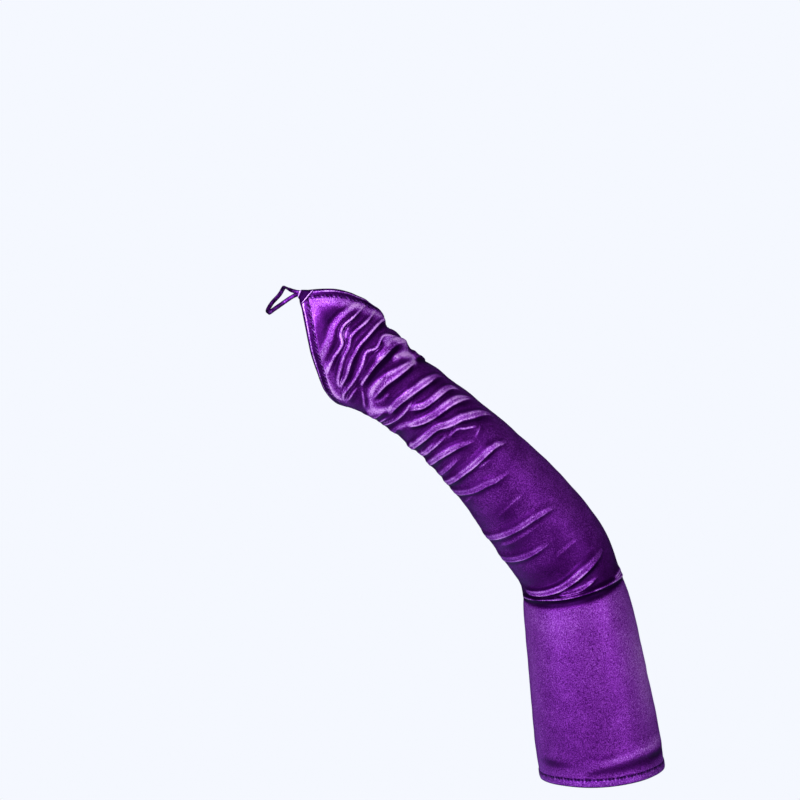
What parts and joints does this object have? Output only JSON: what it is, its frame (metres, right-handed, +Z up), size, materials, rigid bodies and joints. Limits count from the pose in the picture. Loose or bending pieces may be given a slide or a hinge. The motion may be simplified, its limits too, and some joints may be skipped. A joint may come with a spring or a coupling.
{
  "type": "evening mitten",
  "caption": "Long satin evening mitten in its worn bend, with gathers, an elbow crease, turned hems, a pointed back of hand and a finger loop.",
  "frame": {"origin": "centre of the upper arm opening", "axes": "+Z up towards the hand, +X to the outer side of the elbow, +Y away from the back of the hand"},
  "size_m": [0.2807, 0.1485, 0.3493],
  "materials": {
    "satin": "stretch satin",
    "trim": "stretch satin, folded and stitched"
  },
  "bodies": {
    "root": {"sleeve": "satin", "arm_hem": "trim", "hand_hem": "trim", "point_tab": "trim", "finger_loop": "trim"}
  },
  "joints": []
}
